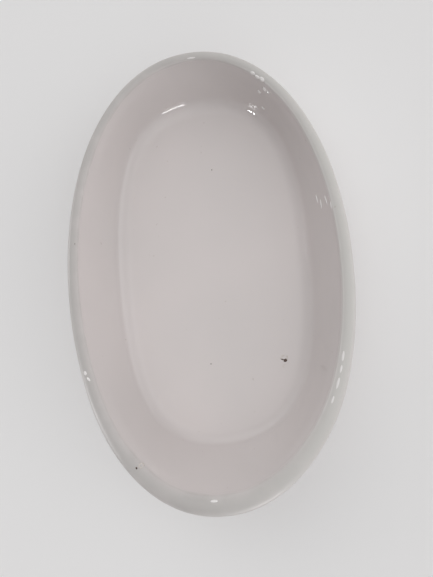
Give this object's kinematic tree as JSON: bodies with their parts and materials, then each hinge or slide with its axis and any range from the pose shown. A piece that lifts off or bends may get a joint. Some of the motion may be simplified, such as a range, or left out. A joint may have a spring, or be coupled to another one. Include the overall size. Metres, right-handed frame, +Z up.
{
  "type": "bedpan",
  "caption": "Open oval bedpan in white glazed pottery: flat floor, round cove, leaning wall, rolled lip widening to the back end, low bare foot ring.",
  "frame": {"origin": "middle of the pan's length and width, on the surface that the foot ring stands on", "axes": "+X across the pan, +Y along it to the front end, which has the narrow lip, +Z up out of the pan"},
  "size_m": [0.236, 0.38, 0.062],
  "materials": {
    "fired_clay": "matte bare fired clay",
    "white_glaze": "glossy warm white glaze",
    "base_glaze": "glossy warm white glaze"
  },
  "bodies": {
    "root": {"clay_body": "fired_clay", "inside_glaze": "white_glaze", "outside_glaze": "white_glaze", "base_glaze": "base_glaze"}
  },
  "joints": []
}
